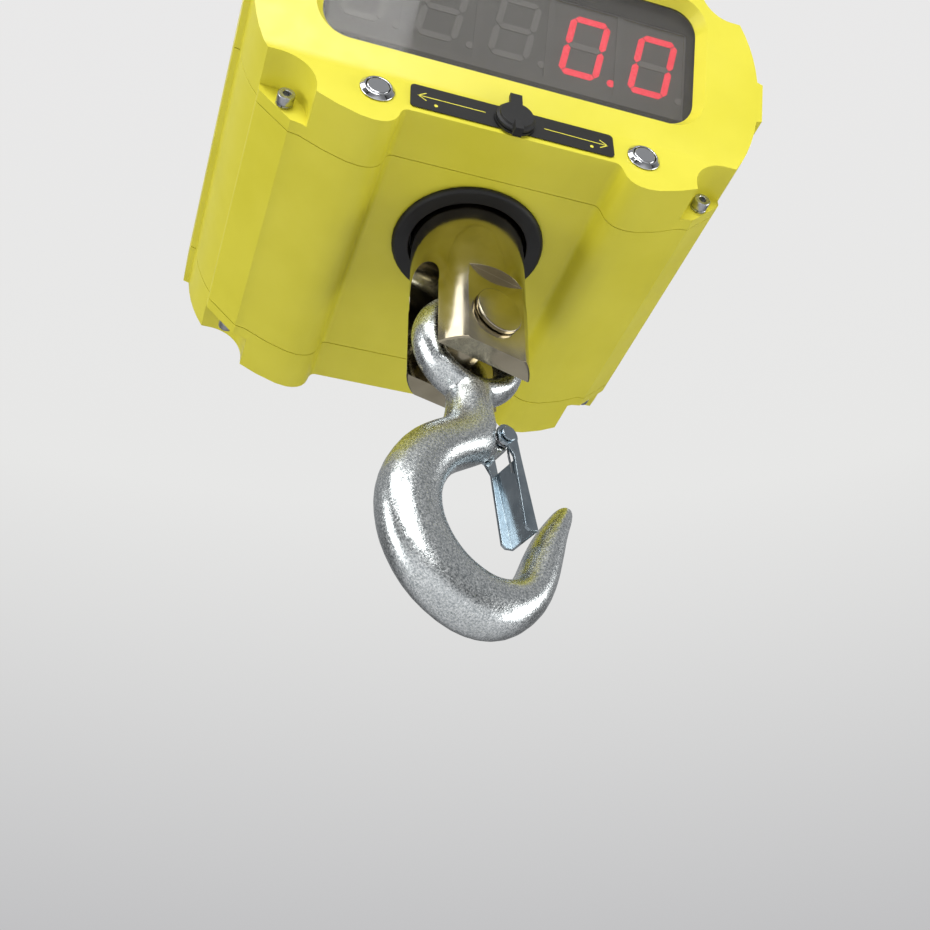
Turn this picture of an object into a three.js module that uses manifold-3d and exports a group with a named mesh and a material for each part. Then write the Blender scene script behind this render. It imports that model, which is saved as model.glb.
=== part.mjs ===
// Hanging crane scale: a die-cast three-piece housing with a tilted five-digit display, a load cell
// on a vertical load line, a bow shackle above and a swivelling clevis with an eye hook below.
// Units are millimetres. +X is to the right of a person facing the display, -Y is the front, +Z is up.
// The housing is drawn with z = 0 on its flat underside and x = y = 0 on the load line. The whole
// assembly is then lowered so that the origin is the point where the shackle hangs from its support.

import * as THREE from 'three';
import { mergeVertices } from 'three/addons/utils/BufferGeometryUtils.js';
import Module from 'manifold-3d';

const wasm = await Module();
wasm.setup();

// ---------------------------------------------------------------- driving dimensions
const housing = {
  frontParting: -36,     // y of the joint between front cover and centre housing
  rearParting: 78,       // y of the joint between centre housing and rear cover
  stripFace: -59.5,      // y of the lower, upright strip of the front cover
  rearFace: 101.5,       // y of the rear cover's back
  height: 100.6,         // between the flat underside and the flat top
  wall: 3.2,
  flatHalf: 42.7,        // half width of the flat underside between the two lobes
  lobeX: 56,             // lowest point of each lobe
  lobeDepth: 11,         // how far the lobes hang below the flat
  ledgeX: 80.5,          // where a lobe ends in the narrow ledge below the screw
  ledgeZ: -1.9,
  notchX: 84.7,          // where the ledge meets the chamfered corner
  notchZ: -1.2,
  cornerX: 98.2,         // chamfered corner's outer side
  cornerZ: 12,
  sideX: 107.2,          // side wall beside the middle rib
  ribProud: 2.6,         // how far the side rib stands out
  ribHalf: 8.6,          // half height of the side rib
  creaseZ: 18.5,         // where the upright strip turns into the tilted display face
  tilt: 18.5,            // degrees that the display face leans forward
};
const scoop = { x: 94, z: 0, radius: 15.7, pad: 6 };
const coverScrew = { x: 87.8, z: 7.3, thread: 4, head: 7, headHeight: 4, washer: 1.2, length: 18 };
const joint = 0.3;       // gap between two clamped or seated pieces
const running = 0.3;     // radial gap of a turning or sliding fit
const partingGap = 0.4;  // visible joint line between the housing pieces

const windowCut = { half: 79.7, low: 14.9, high: 72.9, radius: 12, depth: 4.9, bevel: 3.4 };
const lens = { thickness: 3, overlap: 3 };
const digit = { count: 5, pitch: 31.1, width: 28.5, height: 40, depth: 10.5, setback: 1.5 };
const displayBoard = { half: 91, low: 19, step: 56, stepHalf: 79, high: 64.5, thickness: 1.6 };
const boardPost = { x: 87, low: 26, high: 50, radius: 3 };

const button = { x: 55.3, z: 7.2, rim: 7.1, rimHeight: 1.6, body: 6, bodyLength: 20, bore: 4.9 };
const buttonCap = { radius: 4.6, length: 12, proud: 0.1, travel: 0.8 };
const buttonNut = { across: 14, thickness: 2.5 };
const label = { half: 42.3, low: 2.3, high: 15.7, thickness: 0.3, radius: 2 };
const socket = { z: 8.3, radius: 4.8, flange: 8.5, flangeHeight: 0.8, length: 17, bore: 3.1 };
const plugCap = { radius: 8.1, height: 2.6, plug: 2.5, plugLength: 7, pullWidth: 5, gripWidth: 3.6, grip: 2 };
const lamp = { x: 32.3, z: 5.6, radius: 1.5, length: 6 };

const clevis = {
  radius: 24, top: 5, end: -75, slotHalf: 11, slotTop: -27, step: -42, flat: 20, flatTop: -36,
  stem: 10, stemTop: 52, turn: 16.3,
};
// The bushes that centre the clevis: clearance, spigot and lip are counted outward from its radius.
const bush = { clearance: 0.9, lip: 3, wall: 3.2, spigot: clevis.radius + 3, outer: clevis.radius + 8 };
const hookPin = { z: -56, radius: 8.3, head: 10.3, headHeight: 2.2, tail: 3.6, groove: 6.4 };
const clip = { outer: 11.5, thickness: 1.4 };
const cell = { half: 35, halfDepth: 16, low: 17, high: 83, windowHalf: 22, beam: 13, slit: 3 };
const bearing = { radius: 20, height: 8 };
const stemNut = { across: 30, height: 11 };
const eyeBase = housing.height + bush.lip + joint;
const topEye = {
  radius: 24, low: eyeBase, high: eyeBase + 48.1, flat: 14.5, boreZ: eyeBase + 27.1, stemLow: 53,
};
const spacerRadius = 16;
const shackle = { bar: 9, jaw: 16, lug: 20, lugWide: 13, bow: 25, hang: topEye.boreZ + 67, pin: 9.7 };
const shackleHead = { radius: 15, height: 6 };
const shackleNut = { across: 30, height: 11 };
const cotter = { radius: 1.6, reach: 21 };

const eye = { ring: 19.5, bar: 5.5, half: 7.5 };
const hookBody = { half: 10.3, sides: 24, rings: 44, squareness: 2.2, lug: 4.3 };
const latch = {
  x: 12.6, z: -102.5, tilt: 12.2, half: 8, sheet: 1.3, web: 4, top: 9, length: 41,
  lobe: 4.6, cheekTop: 0.8, cheekEnd: -1.5,
};
const rivet = { radius: 2, head: 3.2, headHeight: 1 };
const coil = { radius: 3, wire: 0.5, turns: 2, leg: 14, drop: 1.1 };
const lugFront = 3;      // the hook's lug is thinner on the front, where the spring sits
const battery = { half: 50.5, low: 9, high: 79, front: 46.5, back: 93 };
const bracket = { sheet: 1.5, half: 20 };
const mainBoard = { half: 97.5, low: 29, high: 71.6, back: -26.3, thickness: 1.6 };
const ledge = { half: 8, reach: 12, depth: 10 };
const gasket = { inset: 0.9, width: 1.2, thickness: 0.9, groove: 0.25 };

// ---------------------------------------------------------------- colours
const finish = {
  paint: { color: '#d8d23a', roughness: 0.42, metalness: 0.0 },
  zinc: { color: '#c3c9cf', roughness: 0.35, metalness: 1.0 },
  nickel: { color: '#b9b2a0', roughness: 0.22, metalness: 1.0 },
  steel: { color: '#9aa0a6', roughness: 0.4, metalness: 1.0 },
  chrome: { color: '#d4d6d8', roughness: 0.12, metalness: 1.0 },
  black: { color: '#16161a', roughness: 0.5, metalness: 0.0 },
  rubber: { color: '#121214', roughness: 0.75, metalness: 0.0 },
  lens: { color: '#6f6c6a', roughness: 0.12, metalness: 0.0 },
  board: { color: '#1f6b3a', roughness: 0.55, metalness: 0.0 },
  digit: { color: '#6a6866', roughness: 0.6, metalness: 0.0 },
  battery: { color: '#3b4046', roughness: 0.6, metalness: 0.0 },
  lamp: { color: '#d8c64a', roughness: 0.3, metalness: 0.0 },
  alloy: { color: '#a9aeb3', roughness: 0.38, metalness: 1.0 },
};

// ---------------------------------------------------------------- solids and small helpers
function toSolid(geometry) {
  const bare = geometry.clone();
  bare.deleteAttribute('normal');
  bare.deleteAttribute('uv');
  const merged = mergeVertices(bare, 1e-4);
  const vertProperties = new Float32Array(merged.attributes.position.array);
  const triVerts = new Uint32Array(merged.index.array);
  return new wasm.Manifold(new wasm.Mesh({ numProp: 3, vertProperties, triVerts }));
}

function toGeometry(solid) {
  const mesh = solid.getMesh();
  const geometry = new THREE.BufferGeometry();
  geometry.setAttribute('position', new THREE.BufferAttribute(mesh.vertProperties, 3));
  geometry.setIndex(new THREE.BufferAttribute(mesh.triVerts, 1));
  geometry.computeVertexNormals();
  return geometry;
}

const radians = THREE.MathUtils.degToRad;

function box(x0, x1, y0, y1, z0, z1) {
  const geometry = new THREE.BoxGeometry(x1 - x0, y1 - y0, z1 - z0);
  geometry.translate((x0 + x1) / 2, (y0 + y1) / 2, (z0 + z1) / 2);
  return toSolid(geometry);
}

// A cylinder along one axis from a to b, centred on the other two coordinates (p, q).
function rod(axis, a, b, p, q, radius, sides = 32) {
  const geometry = new THREE.CylinderGeometry(radius, radius, b - a, sides);
  if (axis === 'x') {
    geometry.rotateZ(-Math.PI / 2).translate((a + b) / 2, p, q);
  } else if (axis === 'y') {
    geometry.translate(p, (a + b) / 2, q);
  } else {
    geometry.rotateX(Math.PI / 2).translate(p, q, (a + b) / 2);
  }
  return toSolid(geometry);
}

// A turned solid about Z from [radius, z] points that start and end on the axis or close on themselves.
function turned(points, sides = 40) {
  const profile = points.map(([radius, z]) => new THREE.Vector2(radius, z));
  const geometry = new THREE.LatheGeometry(profile, sides);
  geometry.rotateX(Math.PI / 2);
  return toSolid(geometry);
}

// A flat outline in X and Z, extruded along Y between two planes.
function prismY(shape, y0, y1) {
  const geometry = new THREE.ExtrudeGeometry(shape, { depth: y1 - y0, bevelEnabled: false });
  geometry.rotateX(Math.PI / 2).translate(0, y1, 0);
  return toSolid(geometry);
}

// A flat outline in Y and Z, extruded along X between two planes.
function prismX(points, x0, x1) {
  const shape = new THREE.Shape(points.map(([y, z]) => new THREE.Vector2(y, z)));
  const geometry = new THREE.ExtrudeGeometry(shape, { depth: x1 - x0, bevelEnabled: false });
  geometry.rotateX(Math.PI / 2).rotateZ(Math.PI / 2).translate(x0, 0, 0);
  return toSolid(geometry);
}

function moved(solid, matrix) {
  return toSolid(toGeometry(solid).applyMatrix4(matrix));
}

function hexagon(across) {
  const corner = across / Math.sqrt(3);
  const shape = new THREE.Shape();
  for (let i = 0; i < 6; i += 1) {
    const angle = (i * Math.PI) / 3;
    const place = [corner * Math.cos(angle), corner * Math.sin(angle)];
    if (i === 0) shape.moveTo(...place);
    else shape.lineTo(...place);
  }
  shape.closePath();
  return shape;
}

function roundedRectangle(x0, x1, y0, y1, radius) {
  const shape = new THREE.Shape();
  shape.moveTo(x0 + radius, y0);
  shape.lineTo(x1 - radius, y0);
  shape.absarc(x1 - radius, y0 + radius, radius, -Math.PI / 2, 0);
  shape.lineTo(x1, y1 - radius);
  shape.absarc(x1 - radius, y1 - radius, radius, 0, Math.PI / 2);
  shape.lineTo(x0 + radius, y1);
  shape.absarc(x0 + radius, y1 - radius, radius, Math.PI / 2, Math.PI);
  shape.lineTo(x0, y0 + radius);
  shape.absarc(x0 + radius, y0 + radius, radius, Math.PI, 1.5 * Math.PI);
  return shape;
}

const assembly = new THREE.Group();

function addPart(name, solid, look, group = assembly) {
  const material = new THREE.MeshStandardMaterial(finish[look]);
  const mesh = new THREE.Mesh(toGeometry(solid), material);
  mesh.name = name;
  group.add(mesh);
  return mesh;
}

// ---------------------------------------------------------------- housing section
// The lower right quarter of the section, from the middle of the underside to the middle of the side.
// A solid corner carries a screw; a scooped corner follows the hollow around the screw pad instead.
function quarterOutline(scooped, detail) {
  const { flatHalf, lobeX, lobeDepth, ledgeX, ledgeZ, notchX, notchZ, cornerX, cornerZ, sideX } = housing;
  const path = new THREE.Path();
  path.moveTo(flatHalf, 0);
  path.quadraticCurveTo(flatHalf + 2.6, -0.2, flatHalf + 3.4, -4.2);
  path.quadraticCurveTo(flatHalf + 5.2, -lobeDepth, lobeX, -lobeDepth);
  if (scooped) {
    path.lineTo(scoop.x - scoop.radius, notchZ - 1);
    path.absarc(scoop.x, scoop.z, scoop.radius, Math.PI, Math.PI / 2, true);
    path.lineTo(cornerX, scoop.z + scoop.radius);
  } else {
    path.lineTo(lobeX + 5, -lobeDepth + 0.7);
    path.lineTo(ledgeX - 10, ledgeZ - 5);
    path.lineTo(ledgeX, ledgeZ);
    path.lineTo(notchX, notchZ);
    path.lineTo(cornerX - 0.5, cornerZ - 0.5);
    path.lineTo(cornerX, cornerZ + 0.5);
    path.lineTo(cornerX, scoop.z + scoop.radius);
  }
  const rib = housing.height / 2 - housing.ribHalf;
  path.quadraticCurveTo(sideX - 1.8, (rib + scoop.radius) / 2 - 2, sideX, rib - 0.8);
  path.lineTo(sideX + housing.ribProud, rib);
  return path.getPoints(detail);
}

function sectionPoints(scooped, detail = 3) {
  const quarter = quarterOutline(scooped, detail);
  const flip = (point, sx, top) => new THREE.Vector2(sx * point.x, top ? housing.height - point.y : point.y);
  const back = [...quarter].reverse();
  return [
    ...quarter.map((point) => flip(point, 1, false)),
    ...back.map((point) => flip(point, 1, true)),
    ...quarter.map((point) => flip(point, -1, true)),
    ...back.map((point) => flip(point, -1, false)),
  ];
}

// Moves each side of a closed outline inward by one distance.
function insetPoints(points, distance) {
  const clean = points.filter((point, i) => point.distanceTo(points[(i + 1) % points.length]) > 0.05);
  return clean.map((point, i) => {
    const before = clean[(i + clean.length - 1) % clean.length];
    const after = clean[(i + 1) % clean.length];
    const a = point.clone().sub(before).normalize();
    const b = after.clone().sub(point).normalize();
    const normal = new THREE.Vector2(-a.y - b.y, a.x + b.x);
    const stretch = 2 / Math.max(normal.lengthSq(), 0.8);
    return point.clone().addScaledVector(normal, distance * stretch);
  });
}

const bodyShape = new THREE.Shape(sectionPoints(false, 5));
const cavityShape = new THREE.Shape(insetPoints(sectionPoints(true), housing.wall));

// A loop that runs all the way round the wall, used for the gaskets and their grooves.
function wallLoop(near, far) {
  const shape = new THREE.Shape(insetPoints(sectionPoints(true), near));
  shape.holes.push(new THREE.Path(insetPoints(sectionPoints(true), far)));
  return shape;
}

const corners = [];
for (const side of [-1, 1]) {
  for (const top of [false, true]) {
    const mirrorZ = (z) => (top ? housing.height - z : z);
    const name = `${top ? 'upper' : 'lower'}_${side < 0 ? 'left' : 'right'}`;
    corners.push({ name, side, top, mirrorZ });
  }
}

// The hollow in front of a screw pad, open to the corner's outside.
function scoopCut(corner, y0, y1) {
  const { side, top, mirrorZ } = corner;
  const z = mirrorZ(scoop.z);
  const round = rod('y', y0, y1, side * scoop.x, z, scoop.radius, 48);
  const outX = [side * scoop.x, side * (housing.sideX + 12)].sort((a, b) => a - b);
  const lift = [z, z + (top ? -scoop.radius : scoop.radius)].sort((a, b) => a - b);
  const outer = box(...outX, y0, y1, ...lift);
  const below = [z, z + (top ? 30 : -30)].sort((a, b) => a - b);
  const wide = [side * (scoop.x - scoop.radius), side * (housing.sideX + 12)].sort((a, b) => a - b);
  return round.add(outer).add(box(...wide, y0, y1, ...below));
}

// ---------------------------------------------------------------- places on the two front faces
const lean = radians(housing.tilt);
const crease = new THREE.Vector3(0, housing.stripFace, housing.creaseZ);
const faceUp = new THREE.Vector3(0, -Math.sin(lean), Math.cos(lean));
const faceOut = new THREE.Vector3(0, -Math.cos(lean), -Math.sin(lean));
const displayFrame = new THREE.Matrix4().makeBasis(new THREE.Vector3(1, 0, 0), faceUp, faceOut);
displayFrame.setPosition(crease);
const stripFrame = new THREE.Matrix4().makeRotationX(Math.PI / 2);
stripFrame.setPosition(0, housing.stripFace, 0);

// A plate drawn in a face's own axes: x to the right, y up the face, z out of it.
function facePlate(shape, z0, z1) {
  const geometry = new THREE.ExtrudeGeometry(shape, { depth: z1 - z0, bevelEnabled: false, curveSegments: 4 });
  geometry.translate(0, 0, z0);
  return toSolid(geometry);
}

function faceRod(x, y, z0, z1, radius, sides = 24) {
  return rod('z', z0, z1, x, y, radius, sides);
}

const windowMiddle = (windowCut.low + windowCut.high) / 2;
const lensBack = -windowCut.depth - joint - lens.thickness;
const digitFront = lensBack - digit.setback;
const boardFront = digitFront - digit.depth - joint;

// ---------------------------------------------------------------- housing pieces
function frontCover() {
  const { frontParting, stripFace, wall } = housing;
  const joinY = frontParting - partingGap;
  const topZ = housing.height + 30;
  const slope = Math.tan(lean);
  const profile = (back, skin) => {
    const face = stripFace + skin;
    const turnZ = housing.creaseZ + skin * 0.6;
    const tiltSkin = (skin > 0 ? windowCut.depth + 0.1 : 0) / Math.cos(lean);
    const start = stripFace + tiltSkin - slope * (turnZ - housing.creaseZ);
    return [[back, -30], [face, -30], [face, turnZ], [start, turnZ],
      [start - slope * (topZ - turnZ), topZ], [back, topZ]];
  };
  const outer = prismX(profile(joinY, 0), -140, 140);
  const inner = prismX(profile(joinY + 5, wall), -140, 140);
  let cover = prismY(bodyShape, stripFace - 60, joinY).intersect(outer);
  const cavity = prismY(cavityShape, stripFace - 60, joinY + 5).intersect(inner);
  cover = cover.subtract(cavity);
  for (const corner of corners) {
    cover = cover.subtract(scoopCut(corner, stripFace - 60, frontParting - scoop.pad));
    const z = corner.mirrorZ(coverScrew.z);
    const hole = coverScrew.thread / 2 + joint;
    cover = cover.subtract(rod('y', -60, joinY + 5, corner.side * coverScrew.x, z, hole, 20));
  }
  cover = cover.add(moved(displayPosts(), displayFrame));
  cover = cover.subtract(moved(windowTool(), displayFrame));
  for (const side of [-1, 1]) {
    const bore = faceRod(side * button.x, button.z, -10, 2, button.body + joint, 24);
    cover = cover.subtract(moved(bore, stripFrame));
    const lampBore = faceRod(side * lamp.x, lamp.z, -10, 2, lamp.radius + joint, 16);
    cover = cover.subtract(moved(lampBore, stripFrame));
  }
  const socketBore = faceRod(0, socket.z, -10, 2, socket.radius + joint, 24);
  return cover.subtract(moved(socketBore, stripFrame));
}

function windowTool() {
  const { half, low, high, radius, depth, bevel } = windowCut;
  const shape = roundedRectangle(-half, half, low, high, radius);
  const geometry = new THREE.ExtrudeGeometry(shape, {
    depth: 8, bevelEnabled: true, bevelThickness: depth, bevelSize: bevel, bevelSegments: 1, curveSegments: 5,
  });
  return toSolid(geometry).add(facePlate(shape, -depth - 12, -depth + 0.5));
}

// Four posts behind the tilted face that carry the display board.
function displayPosts() {
  let posts = null;
  for (const x of [-boardPost.x, boardPost.x]) {
    for (const y of [boardPost.low, boardPost.high]) {
      const post = faceRod(x, y, boardFront + joint, -windowCut.depth + 1, boardPost.radius, 16);
      posts = posts ? posts.add(post) : post;
    }
  }
  return posts;
}

function rearCover() {
  const joinY = housing.rearParting + partingGap;
  let cover = prismY(bodyShape, joinY, housing.rearFace);
  cover = cover.subtract(prismY(cavityShape, joinY - 5, housing.rearFace - housing.wall));
  for (const corner of corners) {
    cover = cover.subtract(scoopCut(corner, housing.rearParting + scoop.pad, housing.rearFace + 10));
    const z = corner.mirrorZ(coverScrew.z);
    const hole = coverScrew.thread / 2 + joint;
    cover = cover.subtract(rod('y', joinY - 5, 120, corner.side * coverScrew.x, z, hole, 20));
  }
  return cover;
}

function centerHousing() {
  const { frontParting, rearParting, height, wall } = housing;
  let body = prismY(bodyShape, frontParting, rearParting);
  body = body.subtract(prismY(cavityShape, frontParting - 5, rearParting + 5));
  const grooveDepth = gasket.thickness - partingGap + gasket.groove;
  const groove = wallLoop(gasket.inset, gasket.inset + gasket.width);
  body = body.subtract(prismY(groove, frontParting - 5, frontParting + grooveDepth));
  body = body.subtract(prismY(groove, rearParting - grooveDepth, rearParting + 5));
  body = body.subtract(rod('z', -20, wall + 3, 0, 0, bush.spigot + joint, 48));
  body = body.subtract(rod('z', height - wall - 3, height + 20, 0, 0, bush.spigot + joint, 48));
  const tap = coverScrew.thread / 2 + joint;
  for (const corner of corners) {
    const x = corner.side * coverScrew.x;
    const z = corner.mirrorZ(coverScrew.z);
    body = body.subtract(rod('y', frontParting - 5, frontParting + 16, x, z, tap, 20));
    body = body.subtract(rod('y', rearParting - 16, rearParting + 5, x, z, tap, 20));
  }
  const middle = height / 2;
  for (const side of [-1, 1]) {
    const x = [side * (housing.sideX - ledge.reach), side * (housing.sideX - 1)].sort((a, b) => a - b);
    const y0 = mainBoard.back + joint;
    body = body.add(box(...x, y0, y0 + ledge.depth, middle - ledge.half, middle + ledge.half));
  }
  return body;
}

function gasketRing(y0) {
  const shape = wallLoop(gasket.inset + gasket.groove, gasket.inset + gasket.width - gasket.groove);
  return prismY(shape, y0, y0 + gasket.thickness - gasket.groove);
}

// A socket-head cap screw along Y: its head is on the side that `way` points to.
function coverScrewSolid(headY, way) {
  const { thread, head, headHeight, length } = coverScrew;
  const profile = [
    [0, -length], [thread / 2, -length], [thread / 2, 0], [head / 2, 0], [head / 2, headHeight - 0.4],
    [head / 2 - 0.4, headHeight], [1.9, headHeight], [1.7, headHeight - 2], [0, headHeight - 2],
  ];
  const screw = turned(profile, 12);
  const turn = way < 0 ? Math.PI / 2 : -Math.PI / 2;
  const matrix = new THREE.Matrix4().makeRotationX(turn);
  matrix.setPosition(0, headY, 0);
  return moved(screw, matrix);
}

addPart('center_housing', centerHousing(), 'paint');
addPart('front_cover', frontCover(), 'paint');
addPart('rear_cover', rearCover(), 'paint');
const gasketSink = gasket.thickness - partingGap;
addPart('front_gasket', gasketRing(housing.frontParting - partingGap + gasket.groove / 2), 'rubber');
addPart('rear_gasket', gasketRing(housing.rearParting - gasketSink + gasket.groove / 2), 'rubber');

for (const corner of corners) {
  const x = corner.side * coverScrew.x;
  const z = corner.mirrorZ(coverScrew.z);
  const frontHead = housing.frontParting - scoop.pad - coverScrew.washer;
  const frontScrew = addPart(`front_screw_${corner.name}`, coverScrewSolid(frontHead, -1), 'steel');
  frontScrew.position.set(x, 0, z);
  const rearHead = housing.rearParting + scoop.pad + coverScrew.washer;
  const rearScrew = addPart(`rear_screw_${corner.name}`, coverScrewSolid(rearHead, 1), 'steel');
  rearScrew.position.set(x, 0, z);
}

// ---------------------------------------------------------------- display, drawn in the tilted face's axes
const displayGroup = new THREE.Group();
displayGroup.applyMatrix4(displayFrame);
assembly.add(displayGroup);

function lensSolid() {
  const { half, low, high, radius, depth } = windowCut;
  const grow = lens.overlap;
  const shape = roundedRectangle(-half - grow, half + grow, low - grow, high + grow, radius + grow);
  return facePlate(shape, lensBack, -depth - joint);
}
addPart('display_lens', lensSolid(), 'lens', displayGroup);

for (let i = 0; i < digit.count; i += 1) {
  const x = (i - (digit.count - 1) / 2) * digit.pitch;
  const low = windowMiddle - digit.height / 2;
  const half = digit.width / 2;
  const block = box(x - half, x + half, low, low + digit.height, digitFront - digit.depth, digitFront);
  addPart(`led_digit_${i + 1}`, block, 'digit', displayGroup);
}

// The board's upper corners are stepped to clear the hollows around the upper cover screws.
function displayBoardSolid(z0, z1) {
  const { half, low, step, stepHalf, high } = displayBoard;
  return box(-half, half, low, step, z0, z1).add(box(-stepHalf, stepHalf, step - 1, high, z0, z1));
}
const boardBack = boardFront - displayBoard.thickness;
addPart('display_board', displayBoardSolid(boardBack, boardFront), 'board', displayGroup);

// ---------------------------------------------------------------- controls on the upright strip
const stripGroup = new THREE.Group();
stripGroup.applyMatrix4(stripFrame);
assembly.add(stripGroup);

function buttonBezel() {
  const { rim, rimHeight, body, bodyLength, bore } = button;
  const profile = [
    [bore, -bodyLength], [body, -bodyLength], [body, joint], [rim, joint], [rim, joint + 0.4],
    [rim - 1.6, joint + rimHeight], [bore, joint + rimHeight], [bore, -bodyLength],
  ];
  return turned(profile, 32);
}

function buttonCapSolid() {
  const { radius, length, proud } = buttonCap;
  const top = joint + button.rimHeight + proud;
  const profile = [
    [0, top - length], [radius, top - length], [radius, top - 0.4], [radius - 0.4, top], [0, top],
  ];
  return turned(profile, 28);
}

function hexNut(across, height, bore, sides = 24) {
  const geometry = new THREE.ExtrudeGeometry(hexagon(across), { depth: height, bevelEnabled: false });
  return toSolid(geometry).subtract(rod('z', -1, height + 1, 0, 0, bore, sides));
}

for (const [side, word] of [[-1, 'left'], [1, 'right']]) {
  const bezel = addPart(`button_bezel_${word}`, buttonBezel(), 'chrome', stripGroup);
  bezel.position.set(side * button.x, button.z, 0);
  const cap = addPart(`button_cap_${word}`, buttonCapSolid(), 'chrome', stripGroup);
  cap.position.set(side * button.x, button.z, 0);
  const nut = hexNut(buttonNut.across, buttonNut.thickness, button.body + joint);
  const nutMesh = addPart(`button_nut_${word}`, nut, 'steel', stripGroup);
  nutMesh.position.set(side * button.x, button.z, -housing.wall - joint - buttonNut.thickness);
  const lampProfile = [
    [0, -lamp.length], [lamp.radius, -lamp.length], [lamp.radius, -0.4], [lamp.radius - 0.5, 0], [0, 0],
  ];
  const lampMesh = addPart(`indicator_lamp_${word}`, turned(lampProfile, 14), 'lamp', stripGroup);
  lampMesh.position.set(side * lamp.x, lamp.z, 0);
}

function labelSolid() {
  const { half, low, high, thickness, radius } = label;
  const shape = roundedRectangle(-half, half, low, high, radius);
  let sheet = facePlate(shape, joint, joint + thickness);
  sheet = sheet.subtract(faceRod(0, socket.z, -2, 4, socket.radius + joint, 32));
  return sheet;
}
addPart('key_label', labelSolid(), 'black', stripGroup);

const flangeLow = 2 * joint + label.thickness;
const flangeTop = flangeLow + socket.flangeHeight;

function socketSolid() {
  const { radius, flange, length, bore } = socket;
  const profile = [
    [0, -length], [radius, -length], [radius, flangeLow], [flange, flangeLow], [flange, flangeTop],
    [bore, flangeTop], [bore, flangeTop - 12], [0, flangeTop - 12],
  ];
  return turned(profile, 28);
}
const socketMesh = addPart('charge_socket', socketSolid(), 'black', stripGroup);
socketMesh.position.set(0, socket.z, 0);

// Rubber cap of the charging socket: a stepped disc with a plug behind it, a tab above and a grip below.
function plugCapSolid() {
  const base = flangeTop + joint;
  const { radius, height, plug, plugLength, pullWidth, gripWidth, grip } = plugCap;
  const profile = [
    [0, base - plugLength], [plug, base - plugLength], [plug, base], [radius, base],
    [radius, base + height - 1.5], [radius - 1, base + height - 0.9], [radius - 1.2, base + height],
    [0, base + height],
  ];
  const disc = turned(profile, 32);
  const low = base + 0.3;
  const top = base + height;
  const pull = box(-pullWidth / 2, pullWidth / 2, radius - 2, radius + 4.5, low, top - 0.2);
  const stub = box(-gripWidth / 2, gripWidth / 2, -radius - 3, -radius + 2, low, top + grip);
  return disc.add(pull).add(stub);
}
const capMesh = addPart('charge_cap', plugCapSolid(), 'rubber', stripGroup);
capMesh.position.set(0, socket.z, 0);

// ---------------------------------------------------------------- electronics inside
const boardTop = mainBoard.back - mainBoard.thickness;
const { half: boardHalf, low: boardLow, high: boardHigh, back: boardRear } = mainBoard;
addPart('main_board', box(-boardHalf, boardHalf, boardTop, boardRear, boardLow, boardHigh), 'board');
const { half: packHalf, front: packFront, back: packBack, low: packLow, high: packHigh } = battery;
addPart('battery', box(-packHalf, packHalf, packFront, packBack, packLow, packHigh), 'battery');

function batteryBracket() {
  const { sheet, half } = bracket;
  const back = housing.rearFace - housing.wall - joint;
  const front = battery.front - joint - sheet;
  const low = battery.low - joint - sheet;
  const high = battery.high + joint + sheet;
  const outer = box(-half, half, front, back, low, high);
  const hollow = [battery.front - joint, back + 1, battery.low - joint, battery.high + joint];
  const inner = box(-half - 1, half + 1, ...hollow);
  const foot = box(-half, half, back - sheet, back, high - sheet / 2, high + 9);
  const lowFoot = box(-half, half, back - sheet, back, low - 4, low + sheet / 2);
  return outer.subtract(inner).add(foot).add(lowFoot);
}
addPart('battery_bracket', batteryBracket(), 'steel');

// ---------------------------------------------------------------- load line
function loadCell() {
  const { half, halfDepth, low, high, windowHalf, beam, slit } = cell;
  let block = box(-half, half, -halfDepth, halfDepth, low, high);
  block = block.subtract(box(-windowHalf, windowHalf, -halfDepth - 1, halfDepth + 1, low + beam, high - beam));
  const bore = clevis.stem + running;
  block = block.subtract(rod('z', low - 1, low + beam + 1, 0, 0, bore, 32));
  block = block.subtract(rod('z', high - beam - 1, high + 1, 0, 0, bore, 32));
  const middle = (low + high) / 2;
  const gaugeX = (half + windowHalf) / 2;
  for (const side of [-1, 1]) {
    block = block.subtract(rod('y', -halfDepth - 1, halfDepth + 1, side * gaugeX, middle - 9, slit, 20));
    block = block.subtract(rod('y', -halfDepth - 1, halfDepth + 1, side * gaugeX, middle + 9, slit, 20));
  }
  return block;
}
addPart('load_cell', loadCell(), 'alloy');

function bushRing() {
  const { clearance, outer, lip, spigot, wall } = bush;
  const inner = clevis.radius + clearance;
  const profile = [
    [inner, -lip], [outer - 1.2, -lip], [outer, -lip + 1.2], [outer, -joint], [spigot, -joint],
    [spigot, wall], [inner, wall], [inner, -lip],
  ];
  return turned(profile, 48);
}
addPart('lower_bush', bushRing(), 'black');
const upperTurn = new THREE.Matrix4().makeRotationX(Math.PI);
upperTurn.setPosition(0, 0, housing.height);
addPart('upper_bush', moved(bushRing(), upperTurn), 'black');

const bearingLow = cell.low + cell.beam + joint;
const nutLow = bearingLow + bearing.height + joint;
function bearingRing() {
  const bore = clevis.stem + running;
  const { radius, height } = bearing;
  return turned([
    [bore, 0], [radius, 0], [radius, height * 0.4], [radius - 1, height * 0.5], [radius, height * 0.6],
    [radius, height], [bore, height], [bore, 0],
  ], 36);
}
const bearingMesh = addPart('thrust_bearing', bearingRing(), 'steel');
bearingMesh.position.z = bearingLow;
const lowerNut = addPart('swivel_nut', hexNut(stemNut.across, stemNut.height, clevis.stem + joint), 'steel');
lowerNut.position.z = nutLow;

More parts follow.
